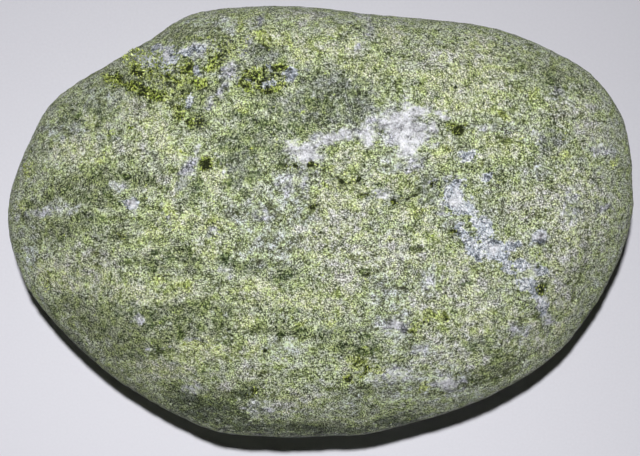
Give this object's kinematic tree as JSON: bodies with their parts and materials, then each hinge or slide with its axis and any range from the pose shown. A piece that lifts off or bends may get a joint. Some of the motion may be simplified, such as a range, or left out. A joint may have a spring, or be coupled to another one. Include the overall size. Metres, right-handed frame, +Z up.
{
  "type": "beach cobble",
  "caption": "Wave-rounded cobble of green epidote rock with pale quartz patches, lying on a flat worn face.",
  "frame": {"origin": "on the resting plane, under the middle of the stone's box", "axes": "+X along the stone, towards its broad blunt end; +Z up through its thickness; +Y across it"},
  "size_m": [0.1198, 0.0822, 0.0398],
  "materials": {
    "epidote_stone": "surf-worn epidote rock, salt-and-pepper grain, matt with glinting grains, quartz patches"
  },
  "bodies": {
    "root": {"cobble": "epidote_stone"}
  },
  "joints": []
}
